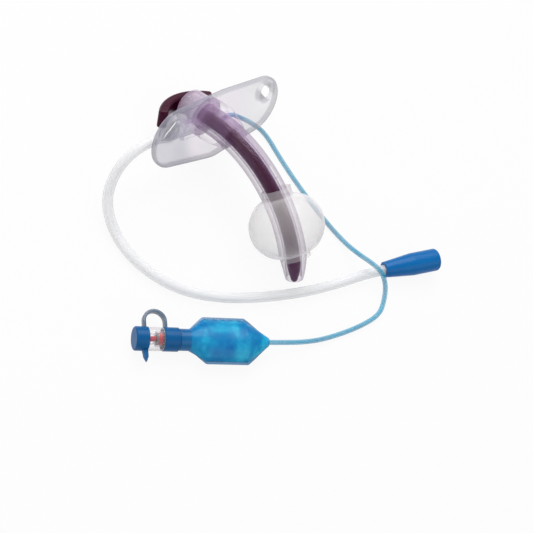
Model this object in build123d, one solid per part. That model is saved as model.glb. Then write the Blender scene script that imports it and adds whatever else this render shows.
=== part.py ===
from build123d import *
import os
from math import atan2, cos, degrees, pi, radians, sin, tan

os.makedirs("parts", exist_ok=True)

# A cuffed tracheostomy tube with its obturator in place, a suction line and an inflation line.
# All sizes are in millimetres. The tube's own frame has its origin at the middle of the flange's
# patient face: X towards the inside of the bend, Y along the flange, Z into the windpipe.

# Curved tube
tube_bore = 7.5
tube_outer = 11.3
tube_length = 73.0
bend_radius = 57.7
bend_lead = 4.0
tube_inset = 3.0
tip_taper = 10.5
tip_outer = 7.4
tip_bore = 6.3
tip_fullness = 0.58
lumen_width = 2.6
lumen_depth = 0.9
window_length = 5.0
window_gap = 3.0
inflation_lumen = 0.8

# Neck flange
plate_thickness = 2.4
waist_radius = 15.6
lobe_radius = 13.0
lobe_at = 23.1
lobe_up = 1.4
plate_edge = 0.6
slot_length = 10.5
slot_width = 4.2
slot_out = 28.0
slot_up = 6.4
slot_lean = 42.0
hub_radius = 8.6
hub_back = 7.5
collar_radius = 9.2
collar_top_radius = 6.3
collar_height = 8.0
collar_fullness = 0.45
gallery_depth = 1.2
gallery_width = 3.6
gallery_lead = 15.0

# Sockets on the hub for the two lines
suction_socket_wall = 1.3
suction_socket_reach = 17.0
suction_socket_depth = 6.0
suction_socket_height = 3.5
inflation_socket_wall = 1.1
inflation_socket_reach = 15.0
inflation_socket_depth = 5.0
inflation_socket_height = 1.2

# Connector with the 15 mm breathing-circuit cone
cone_mouth_diameter = 15.0
cone_taper = 40.0
connector_length = 9.5
rim_height = 1.5
connector_bore = 12.0
stop_bore = 8.4
stop_height = 1.1
funnel_height = 1.9
mouth_chamfer = 0.4

# Cuff
cuff_radius = 15.4
cuff_length = 25.0
cuff_to_tip = 22.6
cuff_shoulder = 12.0
cuff_wall = 0.35
sleeve_wall = 0.45
sleeve_length = 3.0

# Obturator
shaft_radius = 2.8
nose_reach = 1.6
nose_radius = 1.5
nose_taper = 7.0
nose_fullness = 0.7
seat_radius = 4.3
seat_thickness = 1.6
seat_depth = 4.5
bow_radius = 21.2
bow_thickness = 4.0
bow_width = 8.0
bow_half_angle = 47.0
bow_rise = 4.6
bow_round = 1.1

# Lines
suction_outer = 4.2
inflation_outer = 2.0
suction_lead = 5.2
funnel_lead = 7.0
inflation_lead = 4.1
balloon_lead = 5.0

# Suction connector
funnel_length = 25.0
funnel_neck_radius = 3.3
funnel_mouth_radius = 4.75
funnel_taper_length = 13.0
funnel_bore = 6.2
funnel_bore_depth = 13.0
funnel_line_depth = 8.0
funnel_passage = 2.6
funnel_round = 1.2
funnel_round_share = 0.8

# Pilot balloon, valve and cap, measured along their common axis from the cap's outer end
cap_radius = 4.6
cap_length = 5.0
cap_end = 1.4
cap_plug_reach = 4.0
cap_plug_radius = 1.8
tab_reach = 4.4
tab_width = 2.0
tab_thickness = 1.8
tab_shoulder_share = 0.6
tab_point_share = 0.8
inlet_start = 1.7
inlet_radius = 3.6
band_length = 5.8
band_radius = 4.5
ring_seat_radius = 4.1
ring_seat_length = 6.4
luer_bore = 4.3
luer_end = 7.9
seat_bore = 3.0
seat_wall = 0.7
chamber_bore = 6.0
chamber_length = 6.6
stem_collar_radius = 3.5
stem_radius = 3.3
stem_length = 5.6
stem_bore = 2.2
plunger_head_radius = 2.3
plunger_head_length = 1.6
plunger_pin_radius = 1.0
plunger_pin_start = 4.8
plunger_guide_length = 1.6
seal_radius = 2.4
seal_thickness = 0.6
spring_radius = 1.7
spring_wire = 0.4
spring_turns = 4.0
ring_radius = 4.6
ring_length = 6.0
strap_thickness = 1.4
strap_width = 2.6
strap_rise = 7.2
strap_foot = 4.3
neck_wall = 0.9
neck_length = 4.2
bag_half_width = 8.5
bag_half_height = 4.5
bag_flare = 6.2
bag_body = 17.0
bag_taper = 9.2
bag_end_radius = 1.9
bag_wall = 0.4
balloon_line_depth = 5.0
weld_width = 1.0
weld_thickness = 0.8

# Clearances
bond_gap = 0.03
slide_gap = 0.15
touch_gap = 0.05

# Lie on the table
flange_heading = 38.0
wing_lift = inflation_outer + 0.3
valve_spot = (-35.0, -74.8)
valve_heading = 6.4
funnel_spot = (71.2, -28.4)
funnel_heading = 18.0

tube_radius = tube_outer / 2
tube_back = hub_back + tube_inset
mouth_at = hub_back + connector_length
bow_base = mouth_at + bow_rise
bow_middle = bow_radius - bow_thickness - bow_base
cuff_centre = tube_length - cuff_to_tip
wall_middle = (tube_bore + tube_outer) / 4
bend_axis = Axis((bend_radius, 0, -bend_lead), (0, 1, 0))
inflation_way = Vector(0.25, 0.88, -0.40).normalized()
inflation_root = Vector(0, 0, -inflation_socket_height)
suction_way = Vector(0, -1, -0.06).normalized()
suction_root = Vector(0, 0, -suction_socket_height)


def station(distance):
    # Plane square to the bend, this far along it from the flange face
    angle = (distance + bend_lead) / bend_radius
    spot = (bend_radius * (1 - cos(angle)), 0, bend_radius * sin(angle) - bend_lead)
    return Plane(spot, x_dir=(cos(angle), 0, -sin(angle)), z_dir=(sin(angle), 0, cos(angle)))


def bent(sketch, start, end):
    # A section carried along the bend
    turn = degrees((end - start) / bend_radius)
    return revolve(station(start) * sketch, axis=bend_axis, revolution_arc=turn)


def tapered(sections):
    # A round form through (distance, radius) pairs along the bend
    return loft([station(distance) * Circle(radius) for distance, radius in sections])


def rod(root, way, start, end, radius):
    # A round bar along a direction, between two distances from its root
    across = Vector(0, 0, 1) if abs(way.Z) < 0.9 else Vector(1, 0, 0)
    plane = Plane(root + way * start, x_dir=across.cross(way), z_dir=way)
    return extrude(plane * Circle(radius), end - start)


def turned(points):
    # A form turned about the X axis from (distance, radius) points
    profile = Plane.XY * make_face(Polyline(*points, close=True))
    return revolve(profile, axis=Axis.X)


def tube_core(radius, start, end):
    # The tube's straight stub and bend as one solid bar
    stub = extrude(Plane((0, 0, start)) * Circle(radius), -bend_lead - start)
    return stub + bent(Circle(radius), -bend_lead, end)


def make_tube_shaft():
    taper_start = tube_length - tip_taper
    outside = tube_core(tube_radius, -tube_back, taper_start)
    tip_middle = taper_start + tip_taper / 2
    tip_half = tip_fullness * tube_radius + (1 - tip_fullness) * tip_outer / 2
    outside += tapered(
        [(taper_start, tube_radius), (tip_middle, tip_half), (tube_length, tip_outer / 2)]
    )
    inside = tube_core(tube_bore / 2, -tube_back, taper_start)
    inside += tapered([(taper_start, tube_bore / 2), (tube_length, tip_bore / 2)])
    tube = outside - inside

    # Suction lumen in the wall on the outside of the bend, open above the cuff
    window_end = cuff_centre - cuff_length / 2 - sleeve_length - window_gap
    window_middle = window_end - window_length / 2
    lumen = Pos(-wall_middle, 0) * SlotOverall(lumen_width, lumen_depth, rotation=90)
    tube -= bent(lumen, -bend_lead, window_end)
    window_height = tube_radius - wall_middle + 1
    window = Pos(-wall_middle - window_height / 2, 0) * Box(
        window_height, lumen_width, window_length
    )
    tube -= station(window_middle) * window
    port_height = bend_lead + lumen_width / 4
    tube -= rod(Vector(0, 0, -port_height), Vector(-1, 0, 0), wall_middle, tube_outer, lumen_width / 3)

    # Inflation lumen in the wall, from its socket to the middle of the cuff
    side = Vector(inflation_way.X, inflation_way.Y, 0).normalized()
    fine = Pos(side.X * wall_middle, side.Y * wall_middle) * Circle(inflation_lumen / 2)
    tube -= bent(fine, -bend_lead, cuff_centre + inflation_lumen)
    facing = Rot(0, 0, degrees(atan2(side.Y, side.X)))
    hole = rod(Vector(0, 0, 0), Vector(1, 0, 0), wall_middle, tube_outer, inflation_lumen / 3)
    tube -= station(cuff_centre) * facing * hole
    tube -= rod(inflation_root, inflation_way, wall_middle, tube_outer, inflation_lumen / 3)
    return tube


def make_neck_flange():
    rounds = [Circle(waist_radius)]
    rounds += [Pos(-lobe_up, side * lobe_at) * Circle(lobe_radius) for side in (1, -1)]
    outline = make_hull([edge for disc in rounds for edge in disc.edges()])
    plate = extrude(Plane((0, 0, -plate_thickness)) * outline, plate_thickness)
    rim = plate.edges() - plate.edges().filter_by(Axis.Z)
    plate = chamfer(rim, plate_edge)
    for side in (1, -1):
        slot = Rot(0, 0, side * (90 - slot_lean)) * SlotOverall(slot_length, slot_width)
        slot = Plane((-slot_up, side * slot_out, -plate_thickness)) * slot
        plate -= extrude(slot, plate_thickness)

    # Hub behind the plate, and the conical collar that backs up the tube in front of it
    hub = extrude(Plane((0, 0, -hub_back)) * Circle(hub_radius), hub_back)
    middle = collar_fullness * collar_radius + (1 - collar_fullness) * collar_top_radius
    collar = tapered(
        [
            (-plate_thickness / 2, collar_radius),
            (collar_height * 2 / 5, middle),
            (collar_height, collar_top_radius),
        ]
    )
    suction_radius = suction_outer / 2 + bond_gap
    inflation_radius = inflation_outer / 2 + bond_gap
    suction_boss = suction_radius + suction_socket_wall
    inflation_boss = inflation_radius + inflation_socket_wall
    flange = plate + hub + collar
    flange += rod(suction_root, suction_way, tube_radius, suction_socket_reach, suction_boss)
    flange += rod(inflation_root, inflation_way, tube_radius, inflation_socket_reach, inflation_boss)
    flange -= tube_core(tube_radius + bond_gap, -hub_back - 1, collar_height + 1)

    # Line sockets, with the gallery that joins the suction socket to the lumen in the tube
    floor = suction_socket_reach - suction_socket_depth
    flange -= rod(suction_root, suction_way, floor, suction_socket_reach + 1, suction_radius)
    flange -= rod(suction_root, suction_way, 0, floor + 1, suction_outer / 3)
    floor = inflation_socket_reach - inflation_socket_depth
    flange -= rod(inflation_root, inflation_way, floor, inflation_socket_reach + 1, inflation_radius)
    flange -= rod(inflation_root, inflation_way, 0, floor + 1, inflation_lumen / 2)
    gallery = Pos(tube_radius, 0) * Rectangle(2 * gallery_depth, gallery_width)
    gallery = Plane((0, 0, -suction_socket_height), x_dir=(-1, 0, 0), z_dir=(0, 1, 0)) * gallery
    sweep_angle = 90 + 2 * gallery_lead
    gallery = revolve(gallery, axis=Axis.Z, revolution_arc=sweep_angle)
    return flange - Rot(0, 0, -gallery_lead) * gallery


def make_tube_connector():
    cone_length = connector_length - rim_height
    cone_base = (cone_mouth_diameter + cone_length / cone_taper) / 2
    socket = tube_radius + bond_gap
    stop = tube_inset + touch_gap
    bore = connector_bore / 2
    points = [
        (0, socket),
        (0, hub_radius),
        (rim_height, hub_radius),
        (rim_height, cone_base),
        (connector_length - mouth_chamfer, cone_mouth_diameter / 2 + mouth_chamfer / cone_taper),
        (connector_length, cone_mouth_diameter / 2 - mouth_chamfer),
        (connector_length, bore + mouth_chamfer),
        (connector_length - mouth_chamfer, bore),
        (stop + stop_height + funnel_height, bore),
        (stop + stop_height, stop_bore / 2),
        (stop, stop_bore / 2),
        (stop, socket),
    ]
    return Location((0, 0, -hub_back), (0, 90, 0)) * turned(points)


def make_cuff():
    def barrel(radius, half_length, shoulder):
        flat = half_length - shoulder
        outline = [
            Line((0, -half_length), (radius - shoulder, -half_length)),
            RadiusArc((radius - shoulder, -half_length), (radius, -flat), -shoulder),
            Line((radius, -flat), (radius, flat)),
            RadiusArc((radius, flat), (radius - shoulder, half_length), -shoulder),
            Line((radius - shoulder, half_length), (0, half_length)),
            Line((0, half_length), (0, -half_length)),
        ]
        profile = Plane.XZ * make_face(Curve() + outline)
        return station(cuff_centre) * revolve(profile, axis=Axis.Z)

    half = cuff_length / 2
    skin = barrel(cuff_radius, half, cuff_shoulder)
    skin -= barrel(cuff_radius - cuff_wall, half - cuff_wall, cuff_shoulder - cuff_wall)
    first = cuff_centre - half
    last = cuff_centre + half
    sleeve = Circle(tube_radius + sleeve_wall)
    skin += bent(sleeve, first - sleeve_length, first + 2 * sleeve_wall)
    skin += bent(sleeve, last - 2 * sleeve_wall, last + sleeve_length / 2)
    return skin - tube_core(tube_radius + bond_gap, -tube_back, tube_length)


def make_obturator():
    nose_centre = tube_length + nose_reach - nose_radius
    nose_start = nose_centre - nose_taper
    nose_half = nose_fullness * shaft_radius + (1 - nose_fullness) * nose_radius
    shaft = bent(Circle(shaft_radius), -bow_base - bow_thickness / 2, nose_start)
    shaft += tapered(
        [
            (nose_start, shaft_radius),
            (nose_start + nose_taper / 2, nose_half),
            (nose_centre, nose_radius),
        ]
    )
    shaft += station(nose_centre) * Sphere(nose_radius)

    # Seat that stops on the funnel in the connector
    seat_front = seat_depth - mouth_at
    seat_x = station(seat_front).origin.X
    seat = extrude(Plane((seat_x, 0, seat_front)) * Circle(seat_radius), -seat_thickness)
    seat = chamfer(seat.edges(), seat_thickness / 4)

    # Curved finger bow across the end
    half = radians(bow_half_angle)
    reach = 2 * bow_radius / cos(half)
    side = reach * sin(half)
    ahead = reach * cos(half)
    wedge = Polygon((0, 0), (-side, -ahead), (side, -ahead), align=None)
    arch = (Circle(bow_radius) - Circle(bow_radius - bow_thickness)) & wedge
    bow = extrude(Plane.YZ * arch, bow_width / 2, both=True)
    bow = fillet(bow.edges(), bow_round)
    return shaft + seat + Pos(station(-bow_base).origin.X, 0, bow_middle) * bow


def rest_plane():
    # The tube lies on its tip and the bow, with the far wing on the inflation line
    up = Vector(-0.87, -0.22, 0.43)
    tip_end = station(tube_length)
    bow_edge = station(-bow_base).origin.X + bow_width / 2
    for _ in range(40):
        lean = up - tip_end.z_dir * up.dot(tip_end.z_dir)
        tip = tip_end.origin - lean.normalized() * tip_outer / 2
        edge = Vector(-up.X, -up.Y, 0).normalized() * lobe_radius
        wing = edge + Vector(-lobe_up, lobe_at, -plate_thickness) - up * wing_lift
        arc = Vector(0, -up.Y, -up.Z).normalized() * bow_radius
        bow = Vector(bow_edge, arc.Y, bow_middle + arc.Z)
        normal = (wing - tip).cross(bow - tip).normalized()
        up = (up + normal).normalized()
    along = (Vector(0, 1, 0) - up * up.Y).normalized()
    turn = radians(flange_heading)
    across = along * cos(turn) - up.cross(along) * sin(turn)
    return Plane(up * tip.dot(up), x_dir=across, z_dir=up)


def make_suction_connector():
    line = suction_outer / 2 + bond_gap
    points = [
        (0, line),
        (0, funnel_neck_radius),
        (funnel_taper_length, funnel_mouth_radius),
        (funnel_length, funnel_mouth_radius),
        (funnel_length, funnel_bore / 2),
        (funnel_length - funnel_bore_depth, funnel_bore / 2),
        (funnel_length - funnel_bore_depth, funnel_passage / 2),
        (funnel_line_depth, funnel_passage / 2),
        (funnel_line_depth, line),
    ]
    body = turned(points)
    ends = body.edges().filter_by(GeomType.CIRCLE).group_by(Axis.X)
    lip = [edge for edge in ends[-1] if edge.radius > funnel_bore / 2 + bond_gap]
    return fillet(lip, min(funnel_round, (funnel_mouth_radius - funnel_bore / 2) * funnel_round_share))


def make_valve_cap():
    skirt = inlet_radius + slide_gap
    points = [
        (0, 0),
        (0, cap_radius),
        (cap_length, cap_radius),
        (cap_length, skirt),
        (cap_end, skirt),
        (cap_end, cap_plug_radius),
        (cap_plug_reach, cap_plug_radius),
        (cap_plug_reach, 0),
    ]
    cap = turned(points)
    outer = cap.edges().filter_by(GeomType.CIRCLE).group_by(Axis.X)[0]
    cap = fillet(outer, cap_end / 2)
    inner = (cap_radius + skirt) / 2
    shoulder = cap_radius + tab_reach * tab_shoulder_share
    tab = Polygon(
        (cap_length - tab_width, -inner),
        (cap_length, -inner),
        (cap_length, -shoulder),
        (cap_length - tab_width / 3, -cap_radius - tab_reach),
        (cap_length - tab_width * tab_point_share, -shoulder),
        align=None,
    )
    return cap + extrude(tab, tab_thickness / 2, both=True)


band_start = cap_length + slide_gap
band_end = band_start + band_length
body_end = band_end + ring_seat_length
seat_face = luer_end + seat_wall
chamber_end = seat_face + chamber_length


def make_valve_body():
    points = [
        (inlet_start, luer_bore / 2),
        (inlet_start, inlet_radius),
        (band_start, inlet_radius),
        (band_start, band_radius),
        (band_end, band_radius),
        (band_end, ring_seat_radius),
        (body_end, ring_seat_radius),
        (body_end, stem_collar_radius + bond_gap),
        (chamber_end, stem_collar_radius + bond_gap),
        (chamber_end, chamber_bore / 2),
        (seat_face, chamber_bore / 2),
        (seat_face, seat_bore / 2),
        (luer_end, seat_bore / 2),
        (luer_end, luer_bore / 2),
    ]
    return turned(points)


def make_valve_stem():
    stem_start = chamber_end + touch_gap
    points = [
        (stem_start, stem_bore / 2),
        (stem_start, stem_collar_radius),
        (body_end, stem_collar_radius),
        (body_end, stem_radius),
        (body_end + stem_length, stem_radius),
        (body_end + stem_length, stem_bore / 2),
    ]
    return turned(points)


head_start = seat_face + touch_gap + seal_thickness
head_end = head_start + plunger_head_length


def make_valve_plunger():
    points = [
        (plunger_pin_start, 0),
        (plunger_pin_start, plunger_pin_radius),
        (head_start, plunger_pin_radius),
        (head_start, plunger_head_radius),
        (head_end, plunger_head_radius),
        (head_end, plunger_pin_radius),
        (head_end + plunger_guide_length, plunger_pin_radius),
        (head_end + plunger_guide_length, 0),
    ]
    return turned(points)


def make_valve_seal():
    start = seat_face + touch_gap
    end = head_start - bond_gap
    hole = plunger_pin_radius + bond_gap
    return turned([(start, hole), (start, seal_radius), (end, seal_radius), (end, hole)])


def make_valve_spring():
    start = head_end + spring_wire / 2 + touch_gap
    end = chamber_end - spring_wire / 2
    height = end - start
    coil = Helix(height / spring_turns, height, spring_radius)
    section = Plane(coil @ 0, z_dir=coil % 0) * RegularPolygon(spring_wire / 2, 6)
    spring = sweep(section, path=coil)
    return Location((start, 0, 0), (0, 90, 0)) * spring


def make_cap_strap():
    ring_middle = (band_end + body_end) / 2
    ring_inner = ring_seat_radius + bond_gap
    ring_start = ring_middle - ring_length / 2
    ring_end = ring_middle + ring_length / 2
    points = [
        (ring_start, ring_inner),
        (ring_start, ring_radius),
        (ring_end, ring_radius),
        (ring_end, ring_inner),
    ]
    ring = turned(points)
    left = strap_foot
    right = ring_start + strap_thickness
    middle = (left + right) / 2
    outer = (right - left + strap_thickness) / 2
    shoulder = cap_radius + strap_rise - outer
    loop = Pos(middle, shoulder) * (Circle(outer) - Circle(outer - strap_thickness))
    loop &= Pos(middle, shoulder + outer) * Rectangle(4 * outer, 2 * outer)
    for foot in (left, right):
        loop += Pos(foot, shoulder / 2) * Rectangle(strap_thickness, shoulder)
    strap = extrude(loop, strap_width / 2, both=True)
    long_bar = Rot(0, 90, 0) * Cylinder(cap_radius + touch_gap, 3 * body_end)
    cap_side = Box(2 * body_end, 4 * ring_radius, 4 * ring_radius)
    strap -= long_bar & (Pos(-body_end + band_start, 0, 0) * cap_side)
    strap -= Rot(0, 90, 0) * Cylinder(ring_inner, 3 * body_end)
    return ring + strap


neck_start = body_end + touch_gap
bag_start = neck_start + neck_length
bag_full = bag_start + bag_flare
bag_shrink = bag_full + bag_body
bag_end = bag_shrink + bag_taper


def make_pilot_balloon():
    neck_bore = stem_radius + bond_gap
    neck_outer = neck_bore + neck_wall

    def bag(inset):
        sizes = [
            (bag_start, neck_outer - inset, neck_outer - inset),
            (bag_full, bag_half_width - inset, bag_half_height - inset),
            (bag_shrink, bag_half_width - inset, bag_half_height - inset),
            (bag_end, bag_end_radius - inset, bag_end_radius - inset),
        ]
        rings = [Plane((x, 0, 0), x_dir=(0, 1, 0), z_dir=(1, 0, 0)) * Ellipse(a, b) for x, a, b in sizes]
        return loft(rings, ruled=True)

    weld = Polygon(
        (bag_start, neck_outer),
        (bag_full, bag_half_width + weld_width),
        (bag_shrink, bag_half_width + weld_width),
        (bag_end, bag_end_radius + weld_width / 2),
        (bag_end, -bag_end_radius - weld_width / 2),
        (bag_shrink, -bag_half_width - weld_width),
        (bag_full, -bag_half_width - weld_width),
        (bag_start, -neck_outer),
        align=None,
    )
    balloon = bag(0) + extrude(weld, weld_thickness / 2, both=True)
    balloon += turned([(neck_start, 0), (neck_start, neck_outer), (bag_start, neck_outer), (bag_start, 0)])
    balloon -= bag(bag_wall)
    balloon -= turned([(neck_start, 0), (neck_start, neck_bore), (bag_start, neck_bore), (bag_start, 0)])
    line = inflation_outer / 2 + bond_gap
    return balloon - turned([(bag_shrink, 0), (bag_shrink, line), (bag_end, line), (bag_end, 0)])


def make_line(points, diameter, name):
    # A line's tube: straight runs joined by arcs as large as the runs allow
    radii = []
    for before, corner, after in zip(points, points[1:], points[2:]):
        first = corner - before
        second = after - corner
        turn = radians(first.get_angle(second))
        radii.append(0.45 * min(first.length, second.length) / tan(turn / 2))
    path = FilletPolyline(*points, radius=radii)
    section = Plane(points[0], z_dir=points[1] - points[0]) * Circle(diameter / 2)
    tube = sweep(section, path=path)
    expected = path.length * pi * diameter**2 / 4
    print(name, "length", round(path.length, 1), "volume over section", round(tube.volume / expected, 4))
    print(name, "bend radii", [round(radius, 1) for radius in radii])
    return tube


def save(shape, name):
    export_step(shape, os.path.join("parts", name + ".step"))


# The tube, flange, connector, cuff and obturator as they lie, over the middle of their own box
rest = rest_plane()
laid = {
    "tube_shaft": make_tube_shaft(),
    "neck_flange": make_neck_flange(),
    "tube_connector": make_tube_connector(),
    "cuff": make_cuff(),
    "obturator": make_obturator(),
}
laid = {name: rest.to_local_coords(shape) for name, shape in laid.items()}
box = Compound(list(laid.values())).bounding_box()
middle = Vector(box.center().X, box.center().Y, box.min.Z)
for name, shape in laid.items():
    save(Location(-middle) * shape, name)


def laid_point(point):
    # A point of the tube's own frame, on the table
    return rest.to_local_coords(point) - middle


# The pilot balloon with its valve lies on the cap, and the suction connector lies on its taper
valve_place = Location((*valve_spot, cap_radius), (0, 0, valve_heading))
valve = {
    "valve_cap": make_valve_cap(),
    "valve_body": make_valve_body(),
    "valve_stem": make_valve_stem(),
    "valve_plunger": make_valve_plunger(),
    "valve_seal": make_valve_seal(),
    "valve_spring": make_valve_spring(),
    "cap_strap": make_cap_strap(),
    "pilot_balloon": make_pilot_balloon(),
}
for name, shape in valve.items():
    save(valve_place * shape, name)
funnel_tilt = atan2(funnel_mouth_radius - funnel_neck_radius, funnel_taper_length)
funnel_place = Location((*funnel_spot, funnel_neck_radius * cos(funnel_tilt)), (0, 0, funnel_heading))
funnel_place *= Rot(0, -degrees(funnel_tilt), 0)
save(funnel_place * make_suction_connector(), "suction_connector")

# Routes of the two lines over the table, from socket to socket
suction_lie = suction_outer / 2 + touch_gap
suction_floor = suction_socket_reach - suction_socket_depth + touch_gap
suction_points = [
    laid_point(suction_root + suction_way * suction_floor),
    laid_point(suction_root + suction_way * (suction_socket_reach + suction_lead)),
    Vector(-37.1, -0.5, 22.8),
    Vector(-45.6, -7.7, 19.0),
    Vector(-49.1, -15.2, 11.7),
    Vector(-48.8, -22.3, 6.2),
    Vector(-44.5, -30.8, suction_lie),
    Vector(-38.1, -39.5, suction_lie),
    Vector(-29.0, -46.4, suction_lie),
    Vector(-16.0, -51.5, suction_lie),
    Vector(0.4, -52.0, suction_lie),
    Vector(17.2, -49.0, suction_lie),
    Vector(34.0, -44.3, suction_lie),
    Vector(50.1, -37.8, suction_lie),
    (funnel_place * Pos(-funnel_lead, 0, 0)).position,
    (funnel_place * Pos(funnel_line_depth - touch_gap, 0, 0)).position,
]
save(make_line(suction_points, suction_outer, "suction_line"), "suction_line")

inflation_lie = inflation_outer / 2 + touch_gap
inflation_floor = inflation_socket_reach - inflation_socket_depth + touch_gap
inflation_points = [
    laid_point(inflation_root + inflation_way * inflation_floor),
    laid_point(inflation_root + inflation_way * (inflation_socket_reach + inflation_lead)),
    Vector(7.4, 31.6, 2.1),
    Vector(12.1, 31.0, 1.1),
    Vector(18.6, 27.6, inflation_lie),
    Vector(26.0, 15.6, inflation_lie),
    Vector(35.6, 2.5, inflation_lie),
    Vector(46.3, -10.1, inflation_lie),
    Vector(54.9, -18.3, inflation_lie),
    Vector(58.6, -25.5, 6.9),
    Vector(62.9, -29.0, 8.7),
    Vector(67.7, -32.1, 8.2),
    Vector(71.3, -36.1, 4.1),
    Vector(71.6, -42.0, inflation_lie),
    Vector(69.1, -48.2, inflation_lie),
    Vector(61.1, -54.1, inflation_lie),
    Vector(50.5, -59.7, inflation_lie),
    Vector(38.8, -64.5, 1.5),
    (valve_place * Pos(bag_end + balloon_lead, 0, 0)).position,
    (valve_place * Pos(bag_end - balloon_line_depth, 0, 0)).position,
]
save(make_line(inflation_points, inflation_outer, "inflation_line"), "inflation_line")
print("suction route", [tuple(round(value, 2) for value in point) for point in suction_points])
print("inflation route", [tuple(round(value, 2) for value in point) for point in inflation_points])
print("flange middle", laid_point(Vector(0, 0, 0)))
print("bend axis", laid_point(bend_axis.position), laid_point(bend_axis.position + bend_axis.direction))
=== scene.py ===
import math

import bpy
from mathutils import Matrix, Vector


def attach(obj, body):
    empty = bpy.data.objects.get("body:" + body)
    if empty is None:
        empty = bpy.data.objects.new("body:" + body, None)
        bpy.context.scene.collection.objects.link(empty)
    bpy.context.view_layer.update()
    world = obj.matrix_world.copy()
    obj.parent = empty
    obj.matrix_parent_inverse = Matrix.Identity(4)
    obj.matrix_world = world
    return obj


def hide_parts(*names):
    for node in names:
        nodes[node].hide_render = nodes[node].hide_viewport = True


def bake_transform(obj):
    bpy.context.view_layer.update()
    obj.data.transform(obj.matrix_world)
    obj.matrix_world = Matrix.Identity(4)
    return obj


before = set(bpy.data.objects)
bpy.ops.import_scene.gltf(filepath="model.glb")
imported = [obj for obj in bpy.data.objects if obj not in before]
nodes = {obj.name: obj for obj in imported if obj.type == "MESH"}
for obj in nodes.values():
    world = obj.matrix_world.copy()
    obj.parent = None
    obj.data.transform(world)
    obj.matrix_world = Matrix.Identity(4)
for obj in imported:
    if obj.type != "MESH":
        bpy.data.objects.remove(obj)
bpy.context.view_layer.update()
print("frame loaded:", len(nodes), "nodes")

mm = 0.001

# how the tube lies on the table: middle of the flange's patient face, and the tube's own axes
tubeLie = {
    "middle": (-7.772, 15.731, 18.002),
    "inside": (0.15043, -0.45709, -0.87661),   # towards the inside of the bend
    "along": (0.77475, 0.60530, -0.18267),     # along the flange, near wing to far wing
    "into": (0.61411, -0.65167, 0.44519),      # into the windpipe
    "bendRadius": 57.7,
    "bendLead": 4.0,
}
valveLie = {"spot": (-35.0, -74.8, 4.6), "heading": 6.4}


def axesMatrix(spot, xWay, yWay, zWay):
    turned = Matrix((xWay, yWay, zWay)).transposed().to_4x4()
    return Matrix.Translation(Vector(spot) * mm) @ turned


tubePlace = axesMatrix(tubeLie["middle"], tubeLie["inside"], tubeLie["along"], tubeLie["into"])
valveTurn = Matrix.Rotation(math.radians(valveLie["heading"]), 4, "Z")
valvePlace = Matrix.Translation(Vector(valveLie["spot"]) * mm) @ valveTurn
lathePlace = valvePlace @ Matrix.Rotation(math.radians(90), 4, "Y")


def station(distance):
    # place square to the bend, this many millimetres from the flange, Z along the tube
    angle = (distance + tubeLie["bendLead"]) / tubeLie["bendRadius"]
    spot = Vector((1 - math.cos(angle), 0, math.sin(angle))) * tubeLie["bendRadius"]
    spot.z -= tubeLie["bendLead"]
    return tubePlace @ Matrix.Translation(spot * mm) @ Matrix.Rotation(angle, 4, "Y")


class Wire:
    # one shader socket, with the maths written as Python
    def __init__(self, look, socket):
        self.look = look
        self.socket = socket

    def maths(self, operation, first, second=None):
        sockets = {0: first} if second is None else {0: first, 1: second}
        return self.look.node("ShaderNodeMath", {"operation": operation}, sockets)

    def __add__(self, other):
        return self.maths("ADD", self, other)

    def __radd__(self, other):
        return self.maths("ADD", other, self)

    def __sub__(self, other):
        return self.maths("SUBTRACT", self, other)

    def __rsub__(self, other):
        return self.maths("SUBTRACT", other, self)

    def __mul__(self, other):
        return self.maths("MULTIPLY", self, other)

    def __rmul__(self, other):
        return self.maths("MULTIPLY", other, self)

    def __truediv__(self, other):
        return self.maths("DIVIDE", self, other)

    def __pow__(self, other):
        return self.maths("POWER", self, other)


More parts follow.
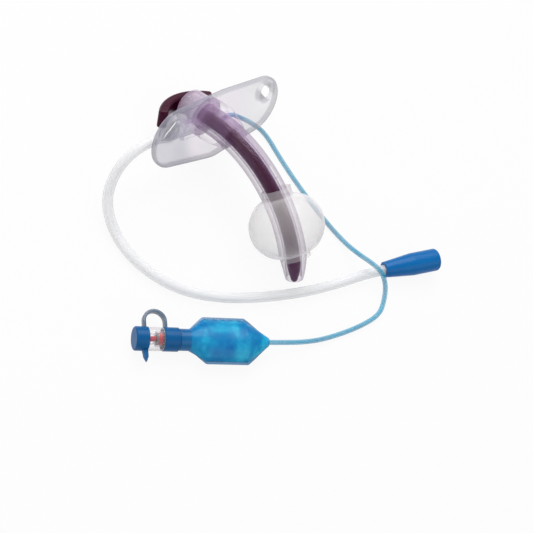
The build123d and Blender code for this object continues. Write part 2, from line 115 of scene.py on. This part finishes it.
class Look:
    # one material and its nodes
    def __init__(self, name):
        self.material = bpy.data.materials.new(name)
        self.material.use_nodes = True
        self.tree = self.material.node_tree
        self.shader = self.tree.nodes["Principled BSDF"]
        self.output = self.tree.nodes["Material Output"]

    def node(self, kind, settings, sockets, out=0):
        made = self.tree.nodes.new(kind)
        for key, value in settings.items():
            if key == "stops":
                ramp = made.color_ramp
                while len(ramp.elements) < len(value):
                    ramp.elements.new(0.5)
                for element, (place, colour) in zip(ramp.elements, value):
                    element.position = place
                    element.color = colour
            else:
                setattr(made, key, value)
        for key, value in sockets.items():
            self.feed(made.inputs[key], value)
        return Wire(self, made.outputs[out])

    def feed(self, socket, value):
        if isinstance(value, Wire):
            self.tree.links.new(value.socket, socket)
        else:
            socket.default_value = value

    def setAll(self, **values):
        for key, value in values.items():
            self.feed(self.shader.inputs[key.replace("_", " ")], value)
        return self

    def spot(self, stretch=(1, 1, 1)):
        place = self.node("ShaderNodeTexCoord", {}, {}, out="Object")
        return self.node("ShaderNodeMapping", {}, {"Vector": place, "Scale": stretch})

    def noise(self, scale, detail, stretch=(1, 1, 1), rough=0.5):
        return self.node("ShaderNodeTexNoise", {}, {
            "Vector": self.spot(stretch), "Scale": scale, "Detail": detail, "Roughness": rough})

    def ramp(self, value, stops):
        return self.node("ShaderNodeValToRGB", {"stops": stops}, {"Fac": value})

    def between(self, factor, low, high):
        # a colour Mix node: socket 0 is its factor, 6 and 7 its two colours, and output 2 the mix
        return self.node("ShaderNodeMix", {"data_type": "RGBA"}, {0: factor, 6: low, 7: high}, out=2)

    def bump(self, height, strength, distance):
        return self.node("ShaderNodeBump", {}, {"Strength": strength, "Distance": distance, "Height": height})

    def reach(self, way, start):
        # how far the surface is from start along a direction, in millimetres
        dot = self.node("ShaderNodeVectorMath", {"operation": "DOT_PRODUCT"}, {0: self.spot(), 1: way}, out="Value")
        return dot / mm - Vector(start).dot(Vector(way))

    def fade(self, value, low, high):
        return self.node("ShaderNodeMapRange", {"interpolation_type": "SMOOTHSTEP"}, {
            "Value": value, "From Min": low, "From Max": high})

    def edge(self, blend):
        return self.node("ShaderNodeLayerWeight", {}, {"Blend": blend}, out="Facing")


def rgb(red, green, blue):
    # sRGB byte values as the shader's linear colour
    def linear(value):
        value /= 255
        return value / 12.92 if value <= 0.04045 else ((value + 0.055) / 1.055) ** 2.4
    return (linear(red), linear(green), linear(blue), 1.0)


# what all clear plastics share
clearSurface = {
    "driftDetail": 2, "smear": 260, "detail": 3, "waveStretch": (1, 1, 0.4), "bump": 0.10, "depth": 0.0004,
    "ior": 1.45, "gloss": 0.5, "coatRough": 0.06,
}


def clearPlastic(name, finish, zones=None):
    # clear plastic: what is behind it shows through face on, and less so where the wall is seen edge on
    shared = clearSurface
    look = Look(name)
    drift = look.noise(finish["drift"], shared["driftDetail"])
    tone = look.between(drift, rgb(*finish["pale"]), rgb(*finish["deep"]))
    body = finish["body"]
    if zones:
        # the lip mask gets the lip colour and more opacity: painted shade on the flange's edge and slots, and the
        # connector mouth's rounded lip
        thick, lip = zones(look)
        # the haze scales the opacity with the drift; on the flange this is painted shade that darkens the near wing
        hazeAndPaintedShade = body * (1 + finish["hazeAndPaintedShade"] * (drift - 0.5))
        body = finish["thinBody"] + (hazeAndPaintedShade - finish["thinBody"]) * thick + finish["lipBody"] * lip
        tone = look.between(lip, look.between(thick, rgb(*finish["thin"]), tone), rgb(*finish["lip"]))
    rim = look.edge(finish["blend"]) ** finish["fall"]
    low, high = finish["rough"]
    look.setAll(
        Base_Color=tone,
        Roughness=low + (high - low) * look.noise(shared["smear"], shared["detail"]),
        Normal=look.bump(look.noise(finish["waves"], shared["detail"], shared["waveStretch"]),
                         shared["bump"], shared["depth"]),
        Alpha=body + (finish["rimBody"] - body) * rim,
        IOR=shared["ior"], Specular_IOR_Level=finish.get("gloss", shared["gloss"]),
        Coat_Weight=finish["coat"], Coat_Roughness=shared["coatRough"])
    return look


# flange as seen face on: the line through its wings, its half height at the waist and at the wings, its slots,
# where the hub blends into the wings, and how wide the painted shade is along its edge and round its slots
flangeOutline = {"wingAt": 23.1, "wingUp": 1.4, "waist": 15.6, "wing": 13.0, "slotAt": 28.0, "slotUp": 6.4,
                 "hub": (13.0, 20.0), "lip": (-1.7, -0.2), "slot": (3.8, 6.0)}


def flangeZones(look):
    # the wings against the polished hub, and painted shade: a darker, more opaque band that runs round the plate
    # and its slots
    size = flangeOutline
    up = look.reach(tubeLie["inside"], tubeLie["middle"])
    along = look.reach(tubeLie["along"], tubeLie["middle"])
    side = along.maths("ABSOLUTE", along)
    inner = side.maths("MINIMUM", side, size["wingAt"])
    rise = up + inner * (size["wingUp"] / size["wingAt"])
    out = side - inner
    halfHeight = size["waist"] - inner * ((size["waist"] - size["wing"]) / size["wingAt"])
    # painted shade along the plate's edge
    lip = look.fade((rise * rise + out * out) ** 0.5 - halfHeight, *size["lip"])
    slotRise = up + size["slotUp"]
    slotSide = side - size["slotAt"]
    # painted shade round each slot, so the hole looks grey
    slot = 1 - look.fade((slotRise * slotRise + slotSide * slotSide) ** 0.5, *size["slot"])
    wings = look.fade((up * up + along * along) ** 0.5, *size["hub"])
    return wings, lip.maths("MAXIMUM", lip, slot)


# connector along the tube's axis, from its open mouth to the hub
connectorRun = {"mouth": (-17.0, -16.2), "socket": (-15.5, -8.5)}


def connectorZones(look):
    # the clear mouth against the thick wall in the hub, and the mouth's rounded lip
    along = look.reach(tubeLie["into"], tubeLie["middle"])
    return look.fade(along, *connectorRun["socket"]), 1 - look.fade(along, *connectorRun["mouth"])


# what all coloured mouldings share
mouldedSurface = {
    "drift": 140, "smear": 330, "detail": 3, "grainDetail": 4, "grainRough": 0.6, "bump": 0.12, "depth": 0.0003,
    "coatRough": 0.08,
}


def mouldedPlastic(name, finish):
    # coloured moulding: soft drift of tone, fine spark-eroded grain
    shared = mouldedSurface
    look = Look(name)
    drift = look.noise(shared["drift"], shared["detail"])
    low, high = finish["rough"]
    look.setAll(
        Base_Color=look.between(drift, rgb(*finish["main"]), rgb(*finish["dark"])),
        Roughness=low + (high - low) * look.noise(shared["smear"], shared["detail"]),
        Normal=look.bump(look.noise(finish["grain"], shared["grainDetail"], rough=shared["grainRough"]),
                         shared["bump"], shared["depth"]),
        Specular_IOR_Level=finish["gloss"], Coat_Weight=finish["coat"], Coat_Roughness=shared["coatRough"])
    return look


clearFinishes = {
    "tube": {"pale": (168, 132, 174), "deep": (144, 110, 156), "body": 0.03, "rimBody": 0.72,
             "blend": 0.45, "fall": 1.15, "rough": (0.05, 0.14), "drift": 90, "waves": 420, "coat": 0.2},
    # flange: the drift runs between a dark lavender and a near white, and the haze acts on the opacity; together
    # they are painted shade that makes the near wing darker and greyer than the far wing
    "flange": {"pale": (150, 143, 180), "deep": (240, 238, 244), "body": 0.19, "rimBody": 0.85,
               # the flange's lip colour and opacity are painted shade on its edge band and round its slots
               "hazeAndPaintedShade": -3.0, "thin": (196, 160, 206), "thinBody": 0.06, "lip": (146, 144, 158), "lipBody": 0.36,
               "blend": 0.35, "fall": 2.0, "rough": (0.10, 0.22), "drift": 26, "waves": 300, "coat": 0.6},
    "connector": {"pale": (232, 216, 238), "deep": (214, 196, 224), "body": 0.46, "rimBody": 0.72,
                  "hazeAndPaintedShade": 0.3, "thin": (236, 220, 240), "thinBody": 0.17, "lip": (150, 112, 160), "lipBody": 0.2,
                  "blend": 0.42, "fall": 1.4, "rough": (0.04, 0.10), "drift": 80, "waves": 500, "coat": 0.6},
    "valve": {"pale": (240, 234, 240), "deep": (224, 218, 226), "body": 0.06, "rimBody": 0.85,
              "blend": 0.42, "fall": 1.4, "rough": (0.06, 0.14), "drift": 120, "waves": 500, "coat": 0.5},
}
mouldedFinishes = {
    "obturator": {"main": (68, 12, 42), "dark": (52, 5, 30), "rough": (0.22, 0.36), "grain": 2600,
                  "gloss": 0.14, "coat": 0.06},
    "funnel": {"main": (0, 106, 174), "dark": (0, 92, 158), "rough": (0.24, 0.38), "grain": 2200,
               "gloss": 0.16, "coat": 0.04},
    "cap": {"main": (0, 94, 150), "dark": (0, 78, 136), "rough": (0.28, 0.42), "grain": 2200,
            "gloss": 0.16, "coat": 0.04},
    "neck": {"main": (16, 104, 158), "dark": (2, 86, 144), "rough": (0.22, 0.36), "grain": 1500,
             "gloss": 0.2, "coat": 0.1},
    "plunger": {"main": (206, 14, 34), "dark": (180, 6, 26), "rough": (0.3, 0.45), "grain": 2000,
                "gloss": 0.2, "coat": 0.0},
    "seal": {"main": (108, 106, 109), "dark": (94, 92, 96), "rough": (0.4, 0.6), "grain": 3000,
             "gloss": 0.3, "coat": 0.0},
}
looks = {}
clearZones = {"flange": flangeZones, "connector": connectorZones}
for name, finish in clearFinishes.items():
    looks[name] = clearPlastic(name + "Clear", finish, clearZones.get(name))
for name, finish in mouldedFinishes.items():
    looks[name] = mouldedPlastic(name + "Moulded", finish)
steelFinish = {
    "main": (176, 178, 182), "dark": (150, 152, 156), "drift": 900, "detail": 2, "drawn": 1800,
    "drawnStretch": (1, 1, 8), "rough": 0.22, "roughMore": 0.12,
}
steel = Look("springSteel")
steel.setAll(
    Base_Color=steel.between(steel.noise(steelFinish["drift"], steelFinish["detail"]),
                             rgb(*steelFinish["main"]), rgb(*steelFinish["dark"])),
    Metallic=1.0,
    Roughness=steelFinish["rough"] + steelFinish["roughMore"] * steel.noise(
        steelFinish["drawn"], steelFinish["detail"], steelFinish["drawnStretch"]))
looks["spring"] = steel

cadDress = {
    "tube_shaft": "tube", "neck_flange": "flange", "tube_connector": "connector", "obturator": "obturator",
    "suction_connector": "funnel", "valve_body": "valve", "valve_stem": "valve", "valve_plunger": "plunger",
    "valve_seal": "seal", "valve_spring": "spring", "valve_cap": "cap",
}
for nodeName, lookName in cadDress.items():
    node = nodes[nodeName]
    node.data.materials.clear()
    node.data.materials.append(looks[lookName].material)
print("CAD nodes dressed")

# lines: route points in millimetres, as the tubes run
hoseMesh = {"order": 3, "alongSteps": 10, "roundSteps": 6}
suctionHose = {
    "outer": 4.2, "wall": 0.85,
    "route": [
        (-18.87, 11.77, 18.16), (-27.91, 5.46, 19.9), (-37.1, -0.5, 22.8), (-45.6, -7.7, 19.0),
        (-49.1, -15.2, 11.7), (-48.8, -22.3, 6.2), (-44.5, -30.8, 2.15), (-38.1, -39.5, 2.15),
        (-29.0, -46.4, 2.15), (-16.0, -51.5, 2.15), (0.4, -52.0, 2.15), (17.2, -49.0, 2.15),
        (34.0, -44.3, 2.15), (50.1, -37.8, 2.15), (64.58, -30.55, 2.5), (78.71, -25.96, 4.16)],
}
inflationHose = {
    "outer": 2.0, "wall": 0.5,
    "route": [
        (-3.74, 23.35, 11.85), (0.55, 29.5, 6.79), (7.4, 31.6, 2.1), (12.1, 31.0, 1.1),
        (18.6, 27.6, 1.05), (26.0, 15.6, 1.05), (35.6, 2.5, 1.05), (46.3, -10.1, 1.05),
        (54.9, -18.3, 1.05), (58.6, -25.5, 6.9), (62.9, -29.0, 8.7), (67.7, -32.1, 8.2),
        (71.3, -36.1, 4.1), (71.6, -42.0, 1.05), (69.1, -48.2, 1.05), (61.1, -54.1, 1.05),
        (50.5, -59.7, 1.05), (38.8, -64.5, 1.5), (23.63, -68.22, 4.6), (13.69, -69.34, 4.6)],
}


def layHose(name, hose, look):
    curve = bpy.data.curves.new(name, "CURVE")
    curve.dimensions = "3D"
    spline = curve.splines.new("NURBS")
    spline.points.add(len(hose["route"]) - 1)
    for point, spot in zip(spline.points, hose["route"]):
        point.co = (*(Vector(spot) * mm), 1)
    spline.order_u = hoseMesh["order"]
    spline.use_endpoint_u = True
    spline.resolution_u = hoseMesh["alongSteps"]
    curve.bevel_depth = hose["outer"] / 2 * mm
    curve.bevel_resolution = hoseMesh["roundSteps"]
    curve.materials.append(look.material)
    piece = bpy.data.objects.new(name, curve)
    bpy.context.scene.collection.objects.link(piece)
    wall = piece.modifiers.new("wall", "SOLIDIFY")
    wall.thickness = hose["wall"] * mm
    wall.offset = -1
    return piece


hoseFinishes = {
    "suctionHose": {"pale": (252, 252, 253), "deep": (242, 243, 246), "body": 0.36, "rimBody": 0.95,
                    "blend": 0.40, "fall": 1.6, "rough": (0.14, 0.26), "drift": 60, "waves": 200, "coat": 0.3},
    "inflationHose": {"pale": (0, 184, 222), "deep": (0, 146, 186), "body": 0.31, "rimBody": 0.95, "gloss": 0.2,
                      "blend": 0.45, "fall": 1.4, "rough": (0.08, 0.16), "drift": 60, "waves": 300, "coat": 0.1},
}
for hoseName, finish in hoseFinishes.items():
    looks[hoseName] = clearPlastic(hoseName + "Clear", finish)
suctionLine = layHose("suctionHose", suctionHose, looks["suctionHose"])
inflationLine = layHose("inflationHose", inflationHose, looks["inflationHose"])
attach(suctionLine, "tube")
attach(inflationLine, "tube")
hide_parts("suction_line")
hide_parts("inflation_line")
print("lines laid")


# turned and smoothed meshes: points closer than this many millimetres merge, and edges under this angle are smooth
meshing = {"merge": 0.002, "smooth": 35}


def startOutline(name, first):
    # a single point, ready to be drawn on in edit mode
    bpy.ops.object.select_all(action="DESELECT")
    bpy.ops.mesh.primitive_plane_add(size=mm, location=(0, 0, 0))
    piece = bpy.context.object
    piece.name = name
    bpy.ops.object.mode_set(mode="EDIT")
    bpy.ops.mesh.select_all(action="SELECT")
    bpy.ops.mesh.merge(type="CENTER")
    bpy.ops.transform.translate(value=first)
    return piece


def turnOutline(name, outline, steps):
    # outline of (along, radius) in millimetres, drawn point by point and spun about Z
    spots = [Vector((radius, 0, along)) * mm for along, radius in outline]
    piece = startOutline(name, spots[0])
    for before, after in zip(spots, spots[1:]):
        bpy.ops.mesh.extrude_vertices_move(TRANSFORM_OT_translate={"value": after - before})
    bpy.ops.mesh.select_all(action="SELECT")
    bpy.ops.mesh.spin(steps=steps, angle=math.tau, center=(0, 0, 0), axis=(0, 0, 1))
    bpy.ops.mesh.select_all(action="SELECT")
    bpy.ops.mesh.remove_doubles(threshold=meshing["merge"] * mm)
    bpy.ops.mesh.normals_make_consistent(inside=False)
    bpy.ops.object.mode_set(mode="OBJECT")
    return piece


def setDown(piece, place, smooth=meshing["smooth"]):
    # the piece's place goes into its mesh
    bpy.ops.object.select_all(action="DESELECT")
    piece.select_set(True)
    bpy.context.view_layer.objects.active = piece
    piece.matrix_world = place
    bpy.ops.object.transform_apply(location=True, rotation=True, scale=True)
    bpy.ops.object.shade_smooth_by_angle(angle=math.radians(smooth))


def thicken(piece, wall, offset=-1):
    bpy.context.view_layer.objects.active = piece
    skin = piece.modifiers.new("wall", "SOLIDIFY")
    skin.thickness = wall * mm
    skin.offset = offset
    bpy.ops.object.modifier_apply(modifier=skin.name)


def smoothStep(low, high, value):
    share = min(1, max(0, (value - low) / (high - low)))
    return share * share * (3 - 2 * share)


# filled cuff: thin film, drawn tight round the tube at both sleeves
cuffFilm = {
    "at": 50.4, "half": 12.4, "radius": 15.3, "shoulder": 12.0, "film": 0.2, "steps": 44, "around": 96,
    "sleeve": 6.12, "sleeveLong": 3.0, "sleeveShort": 1.5, "sleeveGap": 0.4, "mouthStep": 0.3,
    "creases": 11, "creaseDepth": 0.14, "creaseDrift": 1.3, "farCreases": 2.1,
    "foldStarts": (0.45, 0.85), "foldEnds": (0.97, 1.05),
}


def makeCuff(size):
    sleeveEnd = size["half"] + size["sleeveGap"]
    outline = [(-size["half"] - size["sleeveLong"], size["sleeve"]), (-sleeveEnd, size["sleeve"])]
    hollow = size["radius"] - size["shoulder"]
    openAngle = math.acos((size["sleeve"] + size["mouthStep"] - hollow) / size["shoulder"])
    for step in range(size["steps"] + 1):
        angle = openAngle * (2 * step / size["steps"] - 1)
        outline.append((size["half"] * math.sin(angle), hollow + size["shoulder"] * math.cos(angle)))
    outline += [(sleeveEnd, size["sleeve"]), (size["half"] + size["sleeveShort"], size["sleeve"])]
    piece = turnOutline("cuffFilm", outline, size["around"])
    for vertex in piece.data.vertices:
        radius = math.hypot(vertex.co.x, vertex.co.y)
        turn = math.atan2(vertex.co.y, vertex.co.x)
        end = abs(vertex.co.z) / (size["half"] * mm)
        fold = smoothStep(*size["foldStarts"], end) * (1 - smoothStep(*size["foldEnds"], end))
        shift = size["creaseDrift"] * math.sin(2 * turn) + (size["farCreases"] if vertex.co.z > 0 else 0)
        wave = math.cos(size["creases"] * turn + shift)
        scale = 1 + fold * wave * size["creaseDepth"] * mm / radius
        vertex.co.x *= scale
        vertex.co.y *= scale
    thicken(piece, size["film"])
    setDown(piece, station(size["at"]))
    return piece


looks["cuff"] = clearPlastic("milkyCuff", {
    "pale": (250, 247, 248), "deep": (234, 231, 233), "body": 0.14, "rimBody": 0.9,
    "blend": 0.42, "fall": 2.6, "rough": (0.18, 0.32), "drift": 110, "waves": 160, "coat": 0.3})
cuff = makeCuff(cuffFilm)
cuff.data.materials.append(looks["cuff"].material)
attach(cuff, "tube")
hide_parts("cuff")
print("cuff filled")

# pilot balloon: two films welded along a flat rim, blown up between
pilotBag = {
    "start": 17.4, "neck": 4.2, "flare": 6.2, "body": 17.0, "taper": 9.2,
    "neckRadius": 4.2, "halfWidth": 8.5, "halfHeight": 4.4, "tipRadius": 1.75,
    "neckFullness": 0.5, "bodyFullness": 0.72, "taperPower": 0.8,
    "weld": 1.0, "weldHalf": 0.22, "weldShare": 0.12, "weldEnd": 0.99, "seam": 0.02, "smooth": 50,
    "acrossCuts": 36, "alongCuts": 90,
    "puckerStarts": (0.3, 0.95), "puckerEnds": (0.98, 1.0), "puckerDepth": 0.16, "puckerTurn": 1.9,
    "puckerDrift": (0.8, 0.7), "farPuckers": 0.9,
    "dentDepth": 0.22, "dentAlong": (20, 5), "dentAcross": (0.1, 0.35),
}


def bagSizes(size, along):
    # half width, half height, fullness and weld of the bag this far from the valve
    neckEnd = size["neck"]
    full = neckEnd + size["flare"]
    shrink = full + size["body"]
    neckRadius, tipRadius = size["neckRadius"], size["tipRadius"]
    halfWidth, halfHeight = size["halfWidth"], size["halfHeight"]
    fullnessMore = size["bodyFullness"] - size["neckFullness"]
    if along <= neckEnd:
        return neckRadius, neckRadius, size["neckFullness"], 0.0
    if along <= full:
        share = (along - neckEnd) / size["flare"]
        ease = smoothStep(0, 1, share)
        width = neckRadius + (halfWidth - neckRadius) * share
        height = neckRadius + (halfHeight - neckRadius) * ease
        return width, height, size["neckFullness"] + fullnessMore * ease, ease
    if along <= shrink:
        return halfWidth, halfHeight, size["bodyFullness"], 1.0
    share = (along - shrink) / size["taper"]
    ease = smoothStep(0, 1, share)
    width = halfWidth + (tipRadius - halfWidth) * share
    height = halfHeight + (tipRadius - halfHeight) * share ** size["taperPower"]
    return width, height, size["bodyFullness"] - fullnessMore * ease, 1 - ease


def bagCreases(size, along, across, weld):
    # puckers beside the weld, and one shallow dent
    inner = min(1, abs(across))
    pucker = smoothStep(*size["puckerStarts"], inner) * (1 - smoothStep(*size["puckerEnds"], inner))
    swing, rate = size["puckerDrift"]
    turn = along * size["puckerTurn"] + swing * math.sin(along * rate) + (size["farPuckers"] if across > 0 else 0)
    (dentAt, dentLong), (dentSide, dentWide) = size["dentAlong"], size["dentAcross"]
    dent = math.exp(-((along - dentAt) / dentLong) ** 2) * math.exp(-((across - dentSide) / dentWide) ** 2)
    return weld * (pucker * size["puckerDepth"] * math.sin(turn) - size["dentDepth"] * dent)


def makeBag(size):
    length = size["neck"] + size["flare"] + size["body"] + size["taper"]
    halfGrid = 1 + size["weldShare"]
    bpy.ops.object.select_all(action="DESELECT")
    bpy.ops.mesh.primitive_grid_add(
        x_subdivisions=size["alongCuts"], y_subdivisions=size["acrossCuts"], size=2, location=(0, 0, 0))
    piece = bpy.context.object
    piece.name = "pilotBag"
    for name in ("bag", "weld", "neck"):
        piece.data.materials.append(looks[name].material)
    for face in piece.data.polygons:
        if (face.center.x + 1) / 2 * length < size["neck"]:
            face.material_index = 2
        elif abs(face.center.y) * halfGrid > 1:
            face.material_index = 1
    for vertex in piece.data.vertices:
        along = (vertex.co.x + 1) / 2 * length
        width, height, fullness, weld = bagSizes(size, along)
        across = vertex.co.y * halfGrid
        reach = math.sin(min(1, abs(across)) * math.pi / 2)
        y = math.copysign(width * reach, across)
        z = height * max(0, 1 - reach ** 2) ** fullness
        out = (abs(across) - 1) / size["weldShare"]
        if out > 0:
            y += math.copysign(size["weld"] * weld * out, across)
        z = max(z, size["weldHalf"] * weld) if out < size["weldEnd"] else 0.0
        z += bagCreases(size, along, across, weld)
        vertex.co = Vector((size["start"] + along, y, z)) * mm
    bpy.ops.object.modifier_add(type="MIRROR")
    fold = piece.modifiers[-1]
    fold.use_axis = (False, False, True)
    fold.merge_threshold = size["seam"] * mm
    bpy.ops.object.modifier_apply(modifier=fold.name)
    bpy.ops.object.mode_set(mode="EDIT")
    bpy.ops.mesh.select_all(action="SELECT")
    bpy.ops.mesh.normals_make_consistent(inside=False)
    bpy.ops.object.mode_set(mode="OBJECT")
    setDown(piece, valvePlace, size["smooth"])
    return piece


# balloon film: a cloud of blue tones, partly random film tone and partly painted highlights on the blown-up bag,
# mixed with fine patches
bagFinish = {
    "cloudAndHighlights": (120, 2, (1, 0.6, 1)), "patch": (330, 1), "cloudAndHighlightsShare": 0.7, "patchShare": 0.3,
    "tones": [(0.30, (0, 102, 172)), (0.50, (0, 132, 188)), (0.70, (36, 180, 218))],
    "rough": 0.18, "roughMore": 0.16, "bump": 0.25, "depth": 0.0008,
    "body": 0.90, "rimMore": 0.08, "blend": 0.4, "gloss": 0.16, "coat": 0.06, "coatRough": 0.1,
}
bagLook = Look("bluePilotFilm")
# the light end of this cloud is painted highlight
cloudAndHighlights = bagLook.noise(*bagFinish["cloudAndHighlights"])
patch = bagLook.noise(*bagFinish["patch"])
bagLook.setAll(
    Base_Color=bagLook.ramp(cloudAndHighlights * bagFinish["cloudAndHighlightsShare"] + patch * bagFinish["patchShare"],
                            [(place, rgb(*tone)) for place, tone in bagFinish["tones"]]),
    Roughness=bagFinish["rough"] + bagFinish["roughMore"] * patch,
    Normal=bagLook.bump(cloudAndHighlights, bagFinish["bump"], bagFinish["depth"]),
    Alpha=bagFinish["body"] + bagFinish["rimMore"] * bagLook.edge(bagFinish["blend"]),
    Specular_IOR_Level=bagFinish["gloss"], Coat_Weight=bagFinish["coat"], Coat_Roughness=bagFinish["coatRough"])
looks["bag"] = bagLook
looks["weld"] = clearPlastic("weldedRim", {
    "pale": (66, 136, 180), "deep": (44, 112, 160), "body": 0.7, "rimBody": 0.9,
    "blend": 0.4, "fall": 1.6, "rough": (0.2, 0.34), "drift": 120, "waves": 500, "coat": 0.4})
bag = makeBag(pilotBag)
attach(bag, "tube")
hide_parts("pilot_balloon")
print("pilot balloon blown up")

# cap's tether: a soft strap in an arch from the cap to a ring round the valve
tether = {
    "capFoot": 4.3, "ringFoot": 12.55, "footRadius": 4.25, "shoulder": 6.975, "arcSteps": 24,
    "thick": 1.3, "wide": 2.5, "soft": 0.4, "softSteps": 3, "capEdge": 5.0, "ringEdge": 11.1, "around": 64,
    "ring": [(11.15, 4.14), (11.15, 4.4), (11.35, 4.6), (16.95, 4.6), (17.15, 4.4), (17.15, 4.14), (11.15, 4.14)],
}


def makeTether(size):
    middle = (size["capFoot"] + size["ringFoot"]) / 2
    bend = (size["ringFoot"] - size["capFoot"]) / 2
    path = [Vector((size["capFoot"], size["footRadius"], 0))]
    for step in range(size["arcSteps"] + 1):
        angle = math.pi * (1 - step / size["arcSteps"])
        path.append(Vector((middle + bend * math.cos(angle), size["shoulder"] + bend * math.sin(angle), 0)))
    path.append(Vector((size["ringFoot"], size["footRadius"], 0)))
    piece = startOutline("capTether", path[0] * mm)
    for before, after in zip(path, path[1:]):
        bpy.ops.mesh.extrude_vertices_move(TRANSFORM_OT_translate={"value": (after - before) * mm})
    bpy.ops.mesh.select_all(action="SELECT")
    bpy.ops.transform.translate(value=(0, 0, -size["wide"] / 2 * mm))
    bpy.ops.mesh.extrude_edges_move(TRANSFORM_OT_translate={"value": (0, 0, size["wide"] * mm)})
    bpy.ops.mesh.select_all(action="SELECT")
    bpy.ops.mesh.normals_make_consistent(inside=False)
    bpy.ops.object.mode_set(mode="OBJECT")
    thicken(piece, size["thick"], 0)
    soften = piece.modifiers.new("softEdges", "BEVEL")
    soften.width = size["soft"] * mm
    soften.segments = size["softSteps"]
    bpy.ops.object.modifier_apply(modifier=soften.name)
    setDown(piece, valvePlace)
    ring = turnOutline("tetherRing", size["ring"], size["around"])
    setDown(ring, lathePlace)
    piece.data.materials.append(looks["strap"].material)
    ring.data.materials.append(looks["cap"].material)
    bpy.ops.object.select_all(action="DESELECT")
    ring.select_set(True)
    piece.select_set(True)
    bpy.context.view_layer.objects.active = piece
    bpy.ops.object.join()
    return piece


looks["strap"] = clearPlastic("strapFilm", {
    "pale": (44, 90, 124), "deep": (28, 70, 106), "body": 0.66, "rimBody": 0.95,
    "blend": 0.45, "fall": 1.5, "rough": (0.18, 0.3), "drift": 150, "waves": 500, "coat": 0.6})
capTether = makeTether(tether)
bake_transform(capTether)
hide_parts("cap_strap")
print("cap tethered")

# valve's spring, between the plunger and the stem: the CAD spring copied, its doubled points merged and its normals
# set outward
springCoil = {"plungerEnd": 10.9, "stemEnd": 15.18, "weld": 0.0005}


def makeSpring(size):
    node = nodes["valve_spring"]
    piece = bpy.data.objects.new("valveSpring", node.data.copy())
    bpy.context.scene.collection.objects.link(piece)
    bpy.ops.object.select_all(action="DESELECT")
    piece.select_set(True)
    bpy.context.view_layer.objects.active = piece
    bpy.ops.object.mode_set(mode="EDIT")
    bpy.ops.mesh.select_all(action="SELECT")
    bpy.ops.mesh.remove_doubles(threshold=size["weld"] * mm)
    bpy.ops.mesh.normals_make_consistent(inside=False)
    bpy.ops.object.mode_set(mode="OBJECT")
    setDown(piece, node.matrix_world.copy())
    return piece


valveSpring = makeSpring(springCoil)
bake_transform(valveSpring)
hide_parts("valve_spring")
print("spring set between plunger and stem")

# the balloon and valve at the inflation line's far end: nothing more is added here
print("nothing more added at the inflation line's far end")

# white table, and a soft studio
studio = {
    "tableSize": 6.0, "tableTop": -0.0002, "tableTone": (0.68, 0.68, 0.685, 1), "tableRough": 0.6,
    "whiteShare": 0.92, "worldTone": (1, 1, 1, 1), "worldStrength": 0.45, "aim": (0.01, -0.02, 0.01),
    "lamps": [
        {"name": "overhead", "spot": (-0.08, 0.50, 0.66), "size": 0.7, "power": 6.6},
        {"name": "frontFill", "spot": (0.45, -0.60, 0.55), "size": 0.6, "power": 1.4},
        {"name": "leftFill", "spot": (-0.65, -0.20, 0.40), "size": 0.5, "power": 1.1},
    ],
}
bpy.ops.object.select_all(action="DESELECT")
bpy.ops.mesh.primitive_plane_add(size=studio["tableSize"], location=(0, 0, studio["tableTop"]))
table = bpy.context.object
table.name = "table"
tableLook = Look("whiteTable")
tableLook.setAll(Base_Color=studio["tableTone"], Roughness=studio["tableRough"])
# the table looks white to the camera, also mirrored and through the clear walls, and keeps part of its shadow
seeing = ("Is Camera Ray", "Is Glossy Ray", "Is Transmission Ray")
lightPath = tableLook.tree.nodes.new("ShaderNodeLightPath")
direct, mirrored, through = [Wire(tableLook, lightPath.outputs[ray]) for ray in seeing]
seen = direct + mirrored + through
glow = tableLook.tree.nodes.new("ShaderNodeEmission")
mixed = tableLook.tree.nodes.new("ShaderNodeMixShader")
tableLook.feed(mixed.inputs[0], seen * studio["whiteShare"])
tableLook.tree.links.new(tableLook.shader.outputs[0], mixed.inputs[1])
tableLook.tree.links.new(glow.outputs[0], mixed.inputs[2])
tableLook.tree.links.new(mixed.outputs[0], tableLook.output.inputs["Surface"])
table.data.materials.append(tableLook.material)

world = bpy.data.worlds.new("studio")
bpy.context.scene.world = world
world.use_nodes = True
background = world.node_tree.nodes["Background"]
background.inputs["Color"].default_value = studio["worldTone"]
background.inputs["Strength"].default_value = studio["worldStrength"]
for lamp in studio["lamps"]:
    light = bpy.data.lights.new(lamp["name"], "AREA")
    light.energy = lamp["power"]
    light.size = lamp["size"]
    lightPiece = bpy.data.objects.new(lamp["name"], light)
    bpy.context.scene.collection.objects.link(lightPiece)
    lightPiece.location = lamp["spot"]
    lightPiece.rotation_mode = "QUATERNION"
    beam = Vector(studio["aim"]) - Vector(lamp["spot"])
    lightPiece.rotation_quaternion = beam.to_track_quat("-Z", "Y")

# camera where the photograph was taken from, rolled as it was held
shot = {
    "spot": (-148.29, -244.67, 425.56), "right": (0.93006, 0.0, 0.36741), "up": (-0.15355, 0.90848, 0.38869),
    "back": (-0.33379, -0.41792, 0.84494), "lens": 84.43, "sensor": 36, "near": 0.01, "clearLayers": 48,
}
cameraData = bpy.data.cameras.new("camera")
cameraData.lens = shot["lens"]
cameraData.sensor_width = shot["sensor"]
cameraData.clip_start = shot["near"]
camera = bpy.data.objects.new("camera", cameraData)
bpy.context.scene.collection.objects.link(camera)
camera.matrix_world = axesMatrix(shot["spot"], shot["right"], shot["up"], shot["back"])
bpy.context.scene.camera = camera
bpy.context.scene.view_settings.view_transform = "Standard"
bpy.context.scene.cycles.transparent_max_bounces = shot["clearLayers"]
print("studio and camera set")
